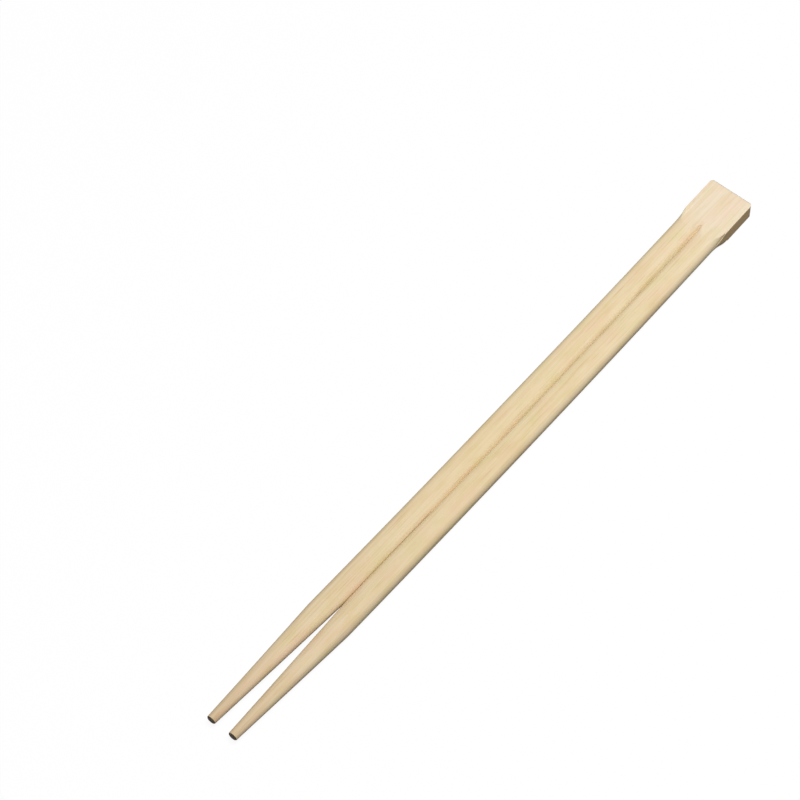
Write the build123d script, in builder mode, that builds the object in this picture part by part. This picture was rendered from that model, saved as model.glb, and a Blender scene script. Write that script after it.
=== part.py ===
from build123d import *
import os
from math import atan2, degrees, sqrt

# A pair of disposable bamboo chopsticks, still joined, cut from one flat slat of bamboo.
# X runs along the sticks with the head at +X, Y across the pair, and Z up.
# The pair lies flat on Z = 0, with the origin under the middle of its length.

# Slat and head block, in millimetres
length = 210.0
slat_thickness = 4.8
head_width = 13.8
head_length = 12.5
head_corner_radius = 0.5
head_edge_radius = 0.2

# The two sticks, milled side by side: a low crown on top, and the slat's own flat back below
pair_width = 13.6
stick_width = 7.1
widest_height = 2.58
top_relief = 0.12
crown_radius = 10.0
back_edge_radius = 2.1

# Root of the groove where the two sticks meet, on both faces
groove_root_radius = 0.35

# Form cutter, which leaves curved shoulders where it lifts out at the head
cutter_radius = 9.0
cutter_overlap = 0.1
side_clearance = 1.0

# Slit sawn along the middle of the pair from its free end
slit_width = 0.35
slit_length = 78.0
saw_radius = 60.0
saw_break_through = 2.0

# Tips
taper_length = 40.0
tip_pitch = 7.1
tip_diameter = 2.65
tip_bevel = 0.2
tip_bevel_angle = 45.0

# Places worked out from the sizes above
head_end = length / 2
tip_end = -length / 2
taper_start = tip_end + taper_length
shoulder_rise = slat_thickness - widest_height
shoulder_run = sqrt(cutter_radius**2 - (cutter_radius - shoulder_rise) ** 2)
cutter_stop = head_end - head_length - shoulder_run
half_stick = stick_width / 2
stick_offset = pair_width / 2 - half_stick

# The upper half of a stick is three arcs: the crown, and an edge arc each side that runs into it
crown_height = shoulder_rise - top_relief
crown_drop = 2 * crown_radius * crown_height - half_stick**2 - crown_height**2
edge_radius = crown_drop / (2 * (crown_radius - half_stick))
edge_centre = half_stick - edge_radius
join_angle = degrees(atan2(crown_radius - crown_height, edge_centre))


def section_plane(x):
    """Plane across the sticks at x: its own x runs along Y, its own y up from the widest line."""
    return Plane(origin=(x, 0, widest_height), x_dir=(0, 1, 0), z_dir=(1, 0, 0))


# Section of one stick: the right half is drawn, and mirrored
with BuildSketch() as stick_section:
    with BuildLine():
        CenterArc((0, crown_height - crown_radius), crown_radius, join_angle, 90 - join_angle)
        CenterArc((edge_centre, 0), edge_radius, 0, join_angle)
        Polyline((half_stick, 0), (half_stick, -widest_height), (0, -widest_height), (0, crown_height))
    make_face()
    back_corner = vertices().sort_by_distance((half_stick, -widest_height, 0))[0]
    fillet(back_corner, back_edge_radius)
    mirror(about=Plane.YZ)

# Section of the pair: the sticks overlap a little in the middle, which leaves a groove on each face
with BuildSketch() as pair_section:
    with Locations((-stick_offset, 0), (stick_offset, 0)):
        add(stick_section.sketch)
    groove_roots = vertices().group_by(lambda v: round(abs(v.X), 3))[0]
    fillet(groove_roots, groove_root_radius)


def milled_waste(side):
    """What the form cutter takes off one face, above for side 1 and below for side -1."""
    with BuildPart() as waste:
        with BuildSketch(section_plane(cutter_stop)) as outline:
            with Locations((0, side * (cutter_radius - cutter_overlap) / 2)):
                Rectangle(head_width + 2 * side_clearance, cutter_radius + cutter_overlap)
            add(pair_section.sketch, mode=Mode.SUBTRACT)
        extrude(amount=-(cutter_stop - tip_end + side_clearance))
        cutter_axis = Axis((cutter_stop, 0, widest_height + side * cutter_radius), (0, -side, 0))
        revolve(outline.sketch, axis=cutter_axis, revolution_arc=90)
    return waste.part


# Saw cut along the middle of the pair: the blade's own radius shows where the slit ends
blade_height = saw_radius - saw_break_through
blade_reach = sqrt(saw_radius**2 - (blade_height - widest_height) ** 2)
blade_centre = tip_end + slit_length - blade_reach
with BuildPart() as saw_cut:
    with BuildSketch(Plane.XZ):
        with Locations((tip_end - side_clearance, -saw_break_through)):
            Rectangle(
                blade_centre - tip_end + side_clearance,
                slat_thickness + 2 * saw_break_through,
                align=(Align.MIN, Align.MIN),
            )
        with Locations((blade_centre, blade_height)):
            Circle(saw_radius)
    extrude(amount=slit_width / 2, both=True)

# Tip of the stick on the +Y side: from the stick's section to a small round end
with BuildPart() as tip:
    with BuildSketch(section_plane(taper_start)):
        add(pair_section.sketch)
        with Locations((slit_width / 2, 0)):
            Rectangle(head_width, 2 * slat_thickness, align=(Align.MIN, Align.CENTER), mode=Mode.INTERSECT)
    with BuildSketch(section_plane(tip_end + tip_bevel)) as tip_circle:
        with Locations((tip_pitch / 2, 0)):
            Circle(tip_diameter / 2)
    loft()
    extrude(tip_circle.sketch, amount=-tip_bevel, taper=tip_bevel_angle)

with BuildPart() as joined_chopsticks:
    with BuildSketch(Plane.XY):
        with Locations((taper_start, 0)):
            Rectangle(head_end - taper_start, head_width, align=(Align.MIN, Align.CENTER))
    extrude(amount=slat_thickness)
    fillet(faces().sort_by(Axis.X)[-1].edges().filter_by(Axis.Z), head_corner_radius)
    fillet(faces().sort_by(Axis.X)[-1].edges(), head_edge_radius)
    add(milled_waste(1), mode=Mode.SUBTRACT)
    add(milled_waste(-1), mode=Mode.SUBTRACT)
    add(saw_cut.part, mode=Mode.SUBTRACT)
    add(tip.part)
    mirror(tip.part, about=Plane.XZ)

joined_chopsticks.part.label = "joined_chopsticks"
os.makedirs("parts", exist_ok=True)
export_step(joined_chopsticks.part, "parts/joined_chopsticks.step")
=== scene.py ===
from math import acos, atan2, ceil, copysign, cos, pi, radians, sin, sqrt

import bmesh
import bpy
from mathutils import Matrix, Vector, noise


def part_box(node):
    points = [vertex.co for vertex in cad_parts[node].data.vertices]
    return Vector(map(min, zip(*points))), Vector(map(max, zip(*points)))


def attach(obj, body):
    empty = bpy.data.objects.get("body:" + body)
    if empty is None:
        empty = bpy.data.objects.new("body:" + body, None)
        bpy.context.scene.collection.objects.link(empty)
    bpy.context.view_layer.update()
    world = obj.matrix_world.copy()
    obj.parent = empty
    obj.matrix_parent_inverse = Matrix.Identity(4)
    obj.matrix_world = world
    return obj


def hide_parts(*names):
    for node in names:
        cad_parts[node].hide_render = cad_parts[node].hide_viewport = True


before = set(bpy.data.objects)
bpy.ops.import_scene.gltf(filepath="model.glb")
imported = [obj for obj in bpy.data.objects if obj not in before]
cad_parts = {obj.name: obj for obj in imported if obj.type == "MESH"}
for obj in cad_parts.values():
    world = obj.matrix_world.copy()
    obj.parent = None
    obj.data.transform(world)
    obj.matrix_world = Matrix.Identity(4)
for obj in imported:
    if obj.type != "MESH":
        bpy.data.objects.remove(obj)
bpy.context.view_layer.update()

MM = 0.001
scene = bpy.context.scene
scene.view_settings.view_transform = "Standard"

# The solid's own extent, in millimetres, which the mesh keeps
low, high = (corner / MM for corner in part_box("joined_chopsticks"))
HEAD_END = high.x
TIP_END = low.x
HALF_HEAD = high.y
SLAT_THICKNESS = high.z

# The sticks, in millimetres, as the solid has them, apart from slightly narrower sticks, a sharper groove,
# a finer slit, and a lower cutter that lifts out LOWER_LAG nearer the head than the upper one
HALF_PAIR = 6.68
HALF_STICK = 3.4
WIDEST_HEIGHT = 2.58
TOP_RELIEF = 0.12
CROWN_RADIUS = 10.0
BACK_EDGE_RADIUS = 2.1
HEAD_LENGTH = 12.5
CUTTER_RADIUS = 9.0
LOWER_LAG = 0.9
SLIT_WIDTH = 0.07
SLIT_LENGTH = 78.0
SAW_RADIUS = 60.0
SAW_BREAK_THROUGH = 2.0
TAPER_LENGTH = 40.0
HALF_TIP_PITCH = 3.55
TIP_RADIUS = 1.325
TIP_BEVEL = 0.2

# The gap between the tips opens a little before the taper, and each stick turns round on its inner side
GAP_LENGTH = 47.0
ROUNDING_START = -50.0
ROUNDING_RUN = 9.0
ROUND_POWER = 2.1

# What the photographed pair has besides: a slight bow, a head a little to one side, and softened corners
BOW = -0.8
HEAD_SHIFT = -0.25
HEAD_CORNER = 1.3
HEAD_EDGE = 0.6
LONG_EDGE = 0.1

# The fibres' relief, in millimetres: its depth, and the length and width of fine and broad fibres
FIBRE_DEPTH = 0.02
FINE_LENGTH = 45
FINE_WIDTH = 0.42
BROAD_LENGTH = 80
BROAD_WIDTH = 1.3

# The mesh attribute that carries the painted shade along the groove's root, and, in millimetres, how far it
# reaches to each side, over what length it grows from the gap, and over what length it fades at the head
GROOVE_SHADE_MARK = "groove_painted_shade"
GROOVE_SHADE_REACH = 0.5
GROOVE_SHADE_RUN = 150.0
GROOVE_SHADE_FADE = 14.0

# Mesh spacing, in millimetres, and what else the mesh is built with
AROUND = 0.27
ALONG = 0.9
ALONG_SHOULDER = 0.35
WALL_SPACING = 0.3
LEDGE_STEPS = 14
LEDGE_POINTS = LEDGE_STEPS + 5
HEAD_RING_SHARES = (0.8, 0.6, 0.4, 0.28, 0.16, 0.08, 0.03, 0.0)
ROUNDING_PLACES = 9
MERGE_DISTANCE = 1e-5
SHARP_ANGLE = 40

TAPER_START = TIP_END + TAPER_LENGTH
GAP_START = TIP_END + GAP_LENGTH
HEAD_START = HEAD_END - HEAD_LENGTH
TOP = SLAT_THICKNESS - WIDEST_HEIGHT
BOTTOM = -WIDEST_HEIGHT
CUTTER_STOP = HEAD_START - sqrt(CUTTER_RADIUS**2 - (CUTTER_RADIUS - TOP) ** 2)
STICK_OFFSET = HALF_PAIR - HALF_STICK
CROWN_HEIGHT = TOP - TOP_RELIEF
CROWN_DROP = 2 * CROWN_RADIUS * CROWN_HEIGHT - HALF_STICK**2 - CROWN_HEIGHT**2
EDGE_RADIUS = CROWN_DROP / (2 * (CROWN_RADIUS - HALF_STICK))
BLADE_HEIGHT = SAW_RADIUS - SAW_BREAK_THROUGH
BLADE_CENTRE = TIP_END + SLIT_LENGTH - sqrt(SAW_RADIUS**2 - (BLADE_HEIGHT - WIDEST_HEIGHT) ** 2)


def between(value):
    """The value, held between 0 and 1."""
    return max(0.0, min(1.0, value))


def linear(hex_colour):
    """A colour written as sRGB hex, as the linear RGBA that the shaders take."""
    channels = [int(hex_colour[i:i + 2], 16) / 255 for i in (1, 3, 5)]
    return [c / 12.92 if c <= 0.04045 else ((c + 0.055) / 1.055) ** 2.4 for c in channels] + [1.0]


def arc(centre_y, centre_z, radius, start, end):
    """Points along an arc in the section, from angle start to angle end in radians.

    They are rounded, so that a point on the middle line is exactly on it and both halves share it.
    """
    steps = max(2, ceil(abs(end - start) * radius / AROUND))
    angles = [start + (end - start) * i / steps for i in range(steps + 1)]
    across = [round(centre_y + radius * cos(a), ROUNDING_PLACES) for a in angles]
    return [(y, centre_z + radius * sin(a)) for y, a in zip(across, angles)]


def straight(start, end, steps=None):
    """Points along a straight stretch of the section, in so many steps or as the mesh spacing asks."""
    span = sqrt((end[0] - start[0]) ** 2 + (end[1] - start[1]) ** 2)
    steps = steps or max(1, ceil(span / AROUND))
    mix = [i / steps for i in range(steps + 1)]
    return [(start[0] + (end[0] - start[0]) * m, start[1] + (end[1] - start[1]) * m) for m in mix]


def root_angle(centre_y, radius, face):
    """The angle at which an edge arc meets the middle line, at the root of a sharp groove."""
    return face * acos(-centre_y / radius)


def half_section():
    """The +Y half of the section in two runs: the bottom root to the side, and the side to the top root."""
    back_y = STICK_OFFSET - HALF_STICK + BACK_EDGE_RADIUS
    back_z = BOTTOM + BACK_EDGE_RADIUS
    low_angle = root_angle(back_y, BACK_EDGE_RADIUS, -1)
    edge_y = STICK_OFFSET - HALF_STICK + EDGE_RADIUS
    top_angle = root_angle(edge_y, EDGE_RADIUS, 1)
    outer_edge = STICK_OFFSET + HALF_STICK - EDGE_RADIUS
    outer_back = STICK_OFFSET + HALF_STICK - BACK_EDGE_RADIUS
    join = atan2(CROWN_RADIUS - CROWN_HEIGHT, HALF_STICK - EDGE_RADIUS)
    below = arc(back_y, back_z, BACK_EDGE_RADIUS, low_angle, -pi / 2)[:-1]
    below += straight((back_y, BOTTOM), (outer_back, BOTTOM))[:-1]
    below += arc(outer_back, back_z, BACK_EDGE_RADIUS, -pi / 2, 0)[:-1]
    below += straight((HALF_PAIR, back_z), (HALF_PAIR, 0))
    above = arc(outer_edge, 0, EDGE_RADIUS, 0, join)[:-1]
    above += arc(STICK_OFFSET, CROWN_HEIGHT - CROWN_RADIUS, CROWN_RADIUS, join, pi - join)[:-1]
    above += arc(edge_y, 0, EDGE_RADIUS, pi - join, top_angle)
    return below, above


def lifted(z, past_stop, face):
    """Height of a point of the upper (face 1) or lower (-1) section beyond the upper cutter's stop."""
    if face == -1:
        past_stop -= LOWER_LAG
    if past_stop <= 0:
        return z
    limit = TOP if face == 1 else -BOTTOM
    reach = (CUTTER_RADIUS - abs(z)) ** 2 - past_stop**2
    raised = CUTTER_RADIUS - sqrt(reach) if reach > 0 else limit
    return face * min(raised, limit)


def ledge(past_stop):
    """The strip of the slat's own side that the cutters leave at the shoulders, and then the head's side."""
    if past_stop <= 0:
        return [(HALF_PAIR, 0.0)] * LEDGE_POINTS
    top = lifted(0.0, past_stop, 1)
    bottom = lifted(0.0, past_stop, -1)
    side = HALF_PAIR + (HALF_HEAD - HALF_PAIR) * between(past_stop / (HEAD_START - CUTTER_STOP))
    soft = min(LONG_EDGE, top / 2, side - HALF_PAIR)
    middle = straight((side, bottom + soft), (side, top - soft), LEDGE_STEPS)
    ease = soft * (1 - sqrt(0.5))
    lower = [(side - soft, bottom), (side - ease, bottom + ease)]
    upper = [(side - ease, top - ease), (side - soft, top)]
    return lower + middle + upper


BELOW, ABOVE = half_section()
TOP_ROOT = ABOVE[-1][1]
BOTTOM_ROOT = BELOW[0][1]
WALL_STEPS = ceil((TOP_ROOT - BOTTOM_ROOT) / WALL_SPACING)


def slit_half(x, z):
    """Half the slit's width at a point of its wall: the blade's arc ends it."""
    reach = sqrt(SAW_RADIUS**2 - (BLADE_HEIGHT - (z + WIDEST_HEIGHT)) ** 2)
    return SLIT_WIDTH / 2 if x < BLADE_CENTRE + reach else 0.0


def ring(x):
    """The closed +Y half section at x: its outline from bottom root to top root, then down the middle."""
    past_stop = x - CUTTER_STOP
    outline = [(y, lifted(z, past_stop, -1)) for y, z in BELOW]
    outline += ledge(past_stop)
    outline += [(y, lifted(z, past_stop, 1)) for y, z in ABOVE]
    points = [(max(y, slit_half(x, z)), z) for y, z in outline]
    (_, bottom), (_, top) = points[0], points[-1]
    for i in range(1, WALL_STEPS):
        z = top + (bottom - top) * i / WALL_STEPS
        points.append((slit_half(x, z), z))
    bottom_open = max(points[0][0], points[-1][0])
    points[0] = (bottom_open, bottom)
    if x < ROUNDING_START:
        points = [towards_tip(y, z, x) for y, z in points]
    return [rounded_head(y, z, x) for y, z in points]


def towards_tip(y, z, x):
    """Blends a point of the section into the tip's circle, and bevels the very end.

    The inner side first turns from a sawn wall to a milled round, and its taper starts sooner.
    """
    angle = atan2(z, y - STICK_OFFSET)
    inward = between(1 - y / STICK_OFFSET)
    if y < STICK_OFFSET:
        rounding = between((ROUNDING_START - x) / ROUNDING_RUN)
        height = CROWN_HEIGHT if z > 0 else WIDEST_HEIGHT
        reach = STICK_OFFSET - SLIT_WIDTH / 2
        round_y = STICK_OFFSET - reach * abs(cos(angle)) ** (2 / ROUND_POWER)
        round_z = copysign(height * abs(sin(angle)) ** (2 / ROUND_POWER), z)
        y += (round_y - y) * rounding
        z += (round_z - z) * rounding
    outer_share = between((TAPER_START - x) / (TAPER_LENGTH - TIP_BEVEL))
    inner_share = between((GAP_START - x) / (GAP_LENGTH - TIP_BEVEL))
    share = outer_share + (inner_share - outer_share) * inward
    radius = TIP_RADIUS - max(0.0, TIP_END + TIP_BEVEL - x)
    tip_y = HALF_TIP_PITCH + radius * cos(angle)
    tip_z = radius * sin(angle)
    return y + (tip_y - y) * share, z + (tip_z - z) * share


def rounded_head(y, z, x):
    """Draws the head's end in, round its upright corners and its end edges."""
    left = HEAD_END - x
    if left >= HEAD_CORNER:
        return y, z
    corner = HEAD_CORNER - sqrt(HEAD_CORNER**2 - (HEAD_CORNER - left) ** 2)
    edge = HEAD_EDGE - sqrt(HEAD_EDGE**2 - (HEAD_EDGE - left) ** 2) if left < HEAD_EDGE else 0.0
    return min(y, HALF_HEAD - corner), max(BOTTOM + edge, min(z, TOP - edge))


def stations():
    """Where the rings stand along the pair: closer at the ends and the shoulders."""
    xs = [TIP_END, TIP_END + TIP_BEVEL / 2, TIP_END + TIP_BEVEL]
    x = TIP_END + TIP_BEVEL
    while x < HEAD_END - HEAD_CORNER - ALONG_SHOULDER:
        near_shoulder = CUTTER_STOP - 1 < x < HEAD_START + 2
        x += ALONG_SHOULDER if near_shoulder else ALONG
        xs.append(min(x, HEAD_END - HEAD_CORNER))
    xs += [HEAD_END - HEAD_CORNER * share for share in HEAD_RING_SHARES]
    return sorted(set(xs))


def groove_shade_share(x, y):
    """How much of the painted shade in the groove a point of the mesh takes: most at the groove's root, near
    the head.
    """
    growth = between((x - GAP_START) / GROOVE_SHADE_RUN)
    fade = between((HEAD_START - x) / GROOVE_SHADE_FADE)
    return growth * fade * between(1 - abs(y) / GROOVE_SHADE_REACH)


def fibre_relief(point):
    """How far the wood stands below its milled surface. Fibres run along X and stay thin across it."""
    fine = noise.noise(Vector((point.x / FINE_LENGTH, point.y / FINE_WIDTH, point.z / FINE_WIDTH)))
    broad = noise.noise(Vector((point.x / BROAD_LENGTH + 7, point.y / BROAD_WIDTH, point.z / BROAD_WIDTH)))
    return FIBRE_DEPTH * (0.5 + 0.35 * fine + 0.35 * broad)


def settled(x, y):
    """Where a point lies across the pair once the bow and the head's small shift are added."""
    turn = between((x - CUTTER_STOP) / (HEAD_START - CUTTER_STOP))
    shift = HEAD_SHIFT * turn**2 * (3 - 2 * turn)
    return y + shift + BOW * (1 - (2 * x / (HEAD_END - TIP_END)) ** 2)


def pair_mesh():
    """Both sticks and the head as one closed skin, with painted shade marked along the groove's root."""
    bm = bmesh.new()
    xs = stations()
    rings = [ring(x) for x in xs]
    count = len(rings[0])
    outline_end = len(BELOW) + LEDGE_POINTS + len(ABOVE) - 1
    halves = []
    for side in (1, -1):
        grid = [[bm.verts.new((x, side * y, z)) for y, z in points] for x, points in zip(xs, rings)]
        halves.append(grid)
        for i in range(len(xs) - 1):
            for j in range(count):
                k = (j + 1) % count
                corners = [(i, j), (i, k), (i + 1, k), (i + 1, j)]
                closed = all(rings[a][b][0] == 0.0 for a, b in corners)
                if closed and j >= outline_end:
                    continue
                face = [grid[a][b] for a, b in corners]
                bm.faces.new(face if side == 1 else face[::-1])
        cap = grid[0]
        bm.faces.new(cap[::-1] if side == 1 else cap)
    right, left = halves
    head_face = right[-1][:outline_end + 1] + left[-1][1:outline_end][::-1]
    bm.faces.new(head_face)
    bmesh.ops.remove_doubles(bm, verts=bm.verts[:], dist=MERGE_DISTANCE)
    bmesh.ops.dissolve_degenerate(bm, edges=bm.edges[:], dist=MERGE_DISTANCE)
    bmesh.ops.delete(bm, geom=[v for v in bm.verts if not v.link_faces], context="VERTS")
    bmesh.ops.recalc_face_normals(bm, faces=bm.faces[:])
    bm.normal_update()
    # Painted shade along the groove's root, as a share for each vertex
    groove_shade_shares = [groove_shade_share(v.co.x, v.co.y) for v in bm.verts]
    moves = [(v, v.normal * fibre_relief(v.co)) for v in bm.verts]
    for v, inward in moves:
        v.co -= inward
        v.co = Vector((v.co.x, settled(v.co.x, v.co.y), v.co.z + WIDEST_HEIGHT)) * MM
    mesh = bpy.data.meshes.new("joined_pair_of_sticks")
    bm.to_mesh(mesh)
    bm.free()
    mesh.attributes.new(GROOVE_SHADE_MARK, "FLOAT", "POINT").data.foreach_set("value", groove_shade_shares)
    mesh.shade_smooth()
    mesh.set_sharp_from_angle(angle=radians(SHARP_ANGLE))
    return mesh


def add_node(material, kind, links=None, inputs=None, **settings):
    """Adds one node to a material or world, sets what it is given, and links its sockets."""
    tree = material.node_tree
    node = tree.nodes.new(kind)
    for name, value in settings.items():
        setattr(node, name, value)
    for name, value in (inputs or {}).items():
        node.inputs[name].default_value = value
    for name, source in (links or {}).items():
        tree.links.new(source, node.inputs[name])
    return node


def empty_material(name):
    """A new material with no nodes."""
    material = bpy.data.materials.new(name)
    material.use_nodes = True
    material.node_tree.nodes.clear()
    return material


# Ground colour of the peeled wood, by the place along the pair in millimetres: palest at the head.
# Its darkening towards the tips is partly the wood's own tone and partly painted shade, where the light
# falls off away from the head
BAMBOO_GROUND_AND_PAINTED_FALLOFF = ((-105, "#D7C19E"), (-78, "#E3CFAD"), (0, "#E8D4AC"), (84, "#EDDAB6"), (94, "#F1E0C6"))

# Streaks that stain it, drawn out along the fibres: stain, most of it that shows, length and width in
# millimetres, detail of the noise, and the noise's values between which the streak comes in
BAMBOO_STREAKS = (
    ("#FFF4F4", 0.62, 10, 2.9, 2, 0.42, 0.68),
    ("#F6F9E4", 0.66, 8, 2.3, 2, 0.45, 0.70),
    ("#D8C4A8", 0.30, 9, 0.34, 1, 0.62, 0.76),
    ("#EFE2CC", 0.42, 38, 0.45, 3, 0.40, 0.72),
)

# What the head's sides multiply the wood's colour by, and the painted shade, a cool tint, that darkens the
# groove's root
SAWN_SIDE = "#E2D2B3"
GROOVE_SHADE_TINT = "#EBF1F4"

# Wood that is cut across the fibres, darker partly as end grain and partly by painted shade, its dots, and
# how far apart they are in millimetres
END_WOOD_AND_SHADE = "#584A3A"
END_DOTS = "#30271E"
BUNDLE_SIZE = 0.5


def milled_bamboo():
    """Peeled bamboo, planed and form milled, left bare.

    The eye gets a pale straw ground with faint pink and yellow clouds, very fine long fibres with no
    growth rings, and a nearly matt face. The ground darkens towards the tips, partly by the wood's own
    tone and partly by painted shade where the light falls off. The head's sides are browner. Where the
    wood is cut across, it is far darker, with small dark dots, partly as end grain and partly as painted
    shade. A painted shade darkens the groove's root. Real fibres are about 0.2 mm apart, too fine to show
    in a picture this size, so the finest streaks are drawn 0.34 and 0.45 mm wide instead.
    """
    material = empty_material("milled_bamboo")
    place = add_node(material, "ShaderNodeTexCoord")
    axes = add_node(material, "ShaderNodeSeparateXYZ", links={0: place.outputs["Object"]})
    along_pair = add_node(
        material, "ShaderNodeMapRange", links={"Value": axes.outputs[0]},
        inputs={"From Min": TIP_END * MM, "From Max": HEAD_END * MM},
    )
    # The ground along the pair, with its painted fall of light towards the tips
    wood = add_node(material, "ShaderNodeValToRGB", links={0: along_pair.outputs[0]})
    stops = wood.color_ramp.elements
    while len(stops) < len(BAMBOO_GROUND_AND_PAINTED_FALLOFF):
        stops.new(0.5)
    for stop, (x, colour) in zip(stops, BAMBOO_GROUND_AND_PAINTED_FALLOFF):
        stop.position = (x - TIP_END) / (HEAD_END - TIP_END)
        stop.color = linear(colour)
    wood = wood.outputs[0]
    for colour, amount, length, width, detail, low_end, high_end in BAMBOO_STREAKS:
        stretch = add_node(
            material, "ShaderNodeMapping", links={"Vector": place.outputs["Object"]},
            inputs={"Scale": (1 / (length * MM), 1 / (width * MM), 1 / (width * MM))},
        )
        cloud = add_node(
            material, "ShaderNodeTexNoise", links={"Vector": stretch.outputs[0]},
            inputs={"Scale": 1.0, "Detail": detail},
        )
        streak = add_node(
            material, "ShaderNodeMapRange", links={"Value": cloud.outputs[0]},
            inputs={"From Min": low_end, "From Max": high_end, "To Max": amount},
        )
        wood = add_node(
            material, "ShaderNodeMix", data_type="RGBA", blend_type="MULTIPLY",
            links={0: streak.outputs[0], 6: wood}, inputs={7: linear(colour)},
        ).outputs[2]
    fibre = streak

    # Painted shade: a cool tint darkens the bright, warm line that the light leaves along the groove's root
    root = add_node(material, "ShaderNodeAttribute", attribute_name=GROOVE_SHADE_MARK)
    wood = add_node(
        material, "ShaderNodeMix", data_type="RGBA", blend_type="MULTIPLY",
        links={0: root.outputs["Fac"], 6: wood}, inputs={7: linear(GROOVE_SHADE_TINT)},
    ).outputs[2]

    # The head's sides, which the photographed pair has browner than its planed faces
    facing = add_node(material, "ShaderNodeNewGeometry")
    parts = add_node(material, "ShaderNodeSeparateXYZ", links={0: facing.outputs["Normal"]})
    across = add_node(material, "ShaderNodeMath", operation="ABSOLUTE", links={0: parts.outputs[1]})
    side = add_node(
        material, "ShaderNodeMapRange", links={"Value": across.outputs[0]},
        inputs={"From Min": 0.9, "From Max": 0.99},
    )
    at_head = add_node(
        material, "ShaderNodeMapRange", links={"Value": axes.outputs[0]},
        inputs={"From Min": CUTTER_STOP * MM, "From Max": HEAD_START * MM},
    )
    sawn = add_node(
        material, "ShaderNodeMath", operation="MULTIPLY",
        links={0: side.outputs[0], 1: at_head.outputs[0]},
    )
    wood = add_node(
        material, "ShaderNodeMix", data_type="RGBA", blend_type="MULTIPLY",
        links={0: sawn.outputs[0], 6: wood}, inputs={7: linear(SAWN_SIDE)},
    ).outputs[2]

    # Cut ends, where the fibre bundles show as dots, darkened partly by their own end grain and partly by
    # painted shade
    along = add_node(material, "ShaderNodeMath", operation="ABSOLUTE", links={0: parts.outputs[0]})
    cut = add_node(
        material, "ShaderNodeMapRange", links={"Value": along.outputs[0]},
        inputs={"From Min": 0.5, "From Max": 0.65},
    )
    flat = add_node(
        material, "ShaderNodeMapping", links={"Vector": place.outputs["Object"]},
        inputs={"Scale": (0, 1 / (BUNDLE_SIZE * MM), 1 / (BUNDLE_SIZE * MM))},
    )
    bundles = add_node(
        material, "ShaderNodeTexVoronoi", links={"Vector": flat.outputs[0]},
        inputs={"Scale": 1.0},
    )
    dots = add_node(
        material, "ShaderNodeMapRange", links={"Value": bundles.outputs["Distance"]},
        inputs={"From Min": 0.42, "From Max": 0.2, "To Max": 0.7},
    )
    # The cut ends' colour: partly their own darker end grain, partly painted shade
    end_wood_and_shade = add_node(
        material, "ShaderNodeMix", data_type="RGBA", links={0: dots.outputs[0]},
        inputs={6: linear(END_WOOD_AND_SHADE), 7: linear(END_DOTS)},
    )
    colours = add_node(
        material, "ShaderNodeMix", data_type="RGBA",
        links={0: cut.outputs[0], 6: wood, 7: end_wood_and_shade.outputs[2]},
    )
    rough = add_node(
        material, "ShaderNodeMapRange", links={"Value": fibre.outputs[0]},
        inputs={"To Min": 0.72, "To Max": 0.85},
    )
    bump = add_node(
        material, "ShaderNodeBump", links={"Height": fibre.outputs[0]},
        inputs={"Strength": 0.25, "Distance": 0.1 * MM},
    )
    surface = add_node(
        material, "ShaderNodeBsdfPrincipled",
        links={"Base Color": colours.outputs[2], "Roughness": rough.outputs[0], "Normal": bump.outputs[0]},
        inputs={"IOR": 1.45},
    )
    add_node(material, "ShaderNodeOutputMaterial", links={"Surface": surface.outputs[0]})
    return material


# The pair of chopsticks
pair = bpy.data.objects.new("joined_pair_of_sticks", pair_mesh())
scene.collection.objects.link(pair)
pair.data.materials.append(milled_bamboo())
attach(pair, "root")
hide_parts("joined_chopsticks")

# Floor: white to the camera, with a share that takes shadow, and grey to the light that bounces off it
FLOOR_SIZE = 4.0
BOUNCE_GREY = 0.2
SHADOW_WHITE = 0.97
GLOW_SHARE = 0.94
WORLD_LIGHT = 0.1

bpy.ops.mesh.primitive_plane_add(size=FLOOR_SIZE, location=(0, 0, 0))
floor = bpy.context.object
floor.name = "floor"
floor_material = empty_material("white_sweep")
path = add_node(floor_material, "ShaderNodeLightPath")
either = add_node(
    floor_material, "ShaderNodeMath", operation="MAXIMUM",
    links={0: path.outputs["Is Camera Ray"], 1: path.outputs["Is Glossy Ray"]},
)
seen = add_node(
    floor_material, "ShaderNodeMath", operation="MAXIMUM",
    links={0: either.outputs[0], 1: path.outputs["Is Transmission Ray"]},
)
bounce = add_node(floor_material, "ShaderNodeBsdfDiffuse", inputs={"Color": [BOUNCE_GREY] * 3 + [1]})
sweep = add_node(floor_material, "ShaderNodeBsdfDiffuse", inputs={"Color": [SHADOW_WHITE] * 3 + [1]})
glow = add_node(floor_material, "ShaderNodeEmission", inputs={"Color": (1, 1, 1, 1), "Strength": 1.0})
white = add_node(
    floor_material, "ShaderNodeMixShader", inputs={0: GLOW_SHARE},
    links={1: sweep.outputs[0], 2: glow.outputs[0]},
)
mixed = add_node(
    floor_material, "ShaderNodeMixShader",
    links={0: seen.outputs[0], 1: bounce.outputs[0], 2: white.outputs[0]},
)
add_node(floor_material, "ShaderNodeOutputMaterial", links={"Surface": mixed.outputs[0]})
floor.data.materials.append(floor_material)

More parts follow.
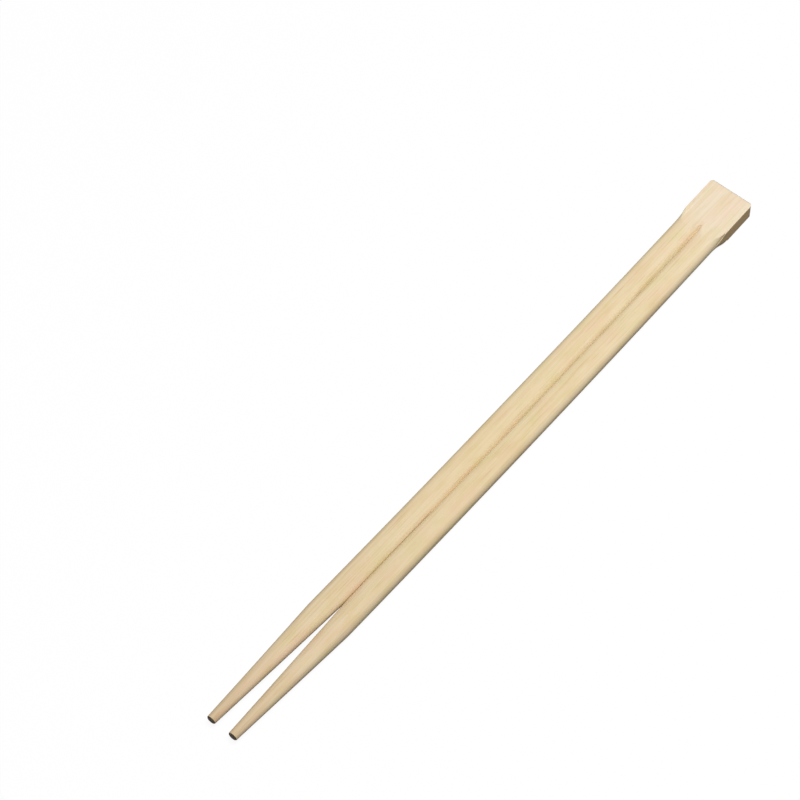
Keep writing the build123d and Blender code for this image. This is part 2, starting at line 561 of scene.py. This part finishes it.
# World: the floor's white to the camera, and a weak fill light to everything else
world = bpy.data.worlds.new("studio")
scene.world = world
world.use_nodes = True
background = world.node_tree.nodes["Background"]
background.inputs["Color"].default_value = (1, 1, 1, 1)
world_path = add_node(world, "ShaderNodeLightPath")
shown = add_node(
    world, "ShaderNodeMapRange", links={"Value": world_path.outputs["Is Camera Ray"]},
    inputs={"To Min": WORLD_LIGHT, "To Max": GLOW_SHARE},
)
world.node_tree.links.new(shown.outputs[0], background.inputs["Strength"])


def softbox(name, towards, distance, width, power):
    """A square soft lamp aimed at the object's middle. towards points from the object to the lamp."""
    lamp = bpy.data.lights.new(name, "AREA")
    lamp.shape = "SQUARE"
    lamp.size = width
    lamp.energy = power
    thing = bpy.data.objects.new(name, lamp)
    scene.collection.objects.link(thing)
    direction = Vector(towards).normalized()
    thing.location = direction * distance
    thing.rotation_euler = direction.to_track_quat("Z", "Y").to_euler()


softbox("key", (0.08, -0.15, 0.98), 1.3, 0.45, 16.0)

# Camera: its direction in degrees, and lengths in millimetres. The aim is how far it stands off the axis.
AZIMUTH = radians(-48.579)
ELEVATION = radians(57.685)
ROLL = radians(-1.726)
DISTANCE = 811.337
FOCAL_PIXELS = 3106.8
PICTURE_PIXELS = 800
SENSOR_WIDTH = 36
AIM_RIGHT = -23.394
AIM_UP = 13.939

back = Vector((sin(AZIMUTH) * cos(ELEVATION), -cos(AZIMUTH) * cos(ELEVATION), sin(ELEVATION)))
level = Vector((cos(AZIMUTH), sin(AZIMUTH), 0))
upright = back.cross(level)
right = cos(ROLL) * level + sin(ROLL) * upright
up = -sin(ROLL) * level + cos(ROLL) * upright
camera_data = bpy.data.cameras.new("camera")
camera_data.sensor_width = SENSOR_WIDTH
camera_data.lens = FOCAL_PIXELS / PICTURE_PIXELS * SENSOR_WIDTH
camera = bpy.data.objects.new("camera", camera_data)
scene.collection.objects.link(camera)
where = (back * DISTANCE + right * AIM_RIGHT + up * AIM_UP) * MM
turn = Matrix((right, up, back)).transposed().to_4x4()
camera.matrix_world = Matrix.Translation(where) @ turn
camera_data.clip_start = 0.01
camera_data.clip_end = 20
scene.camera = camera
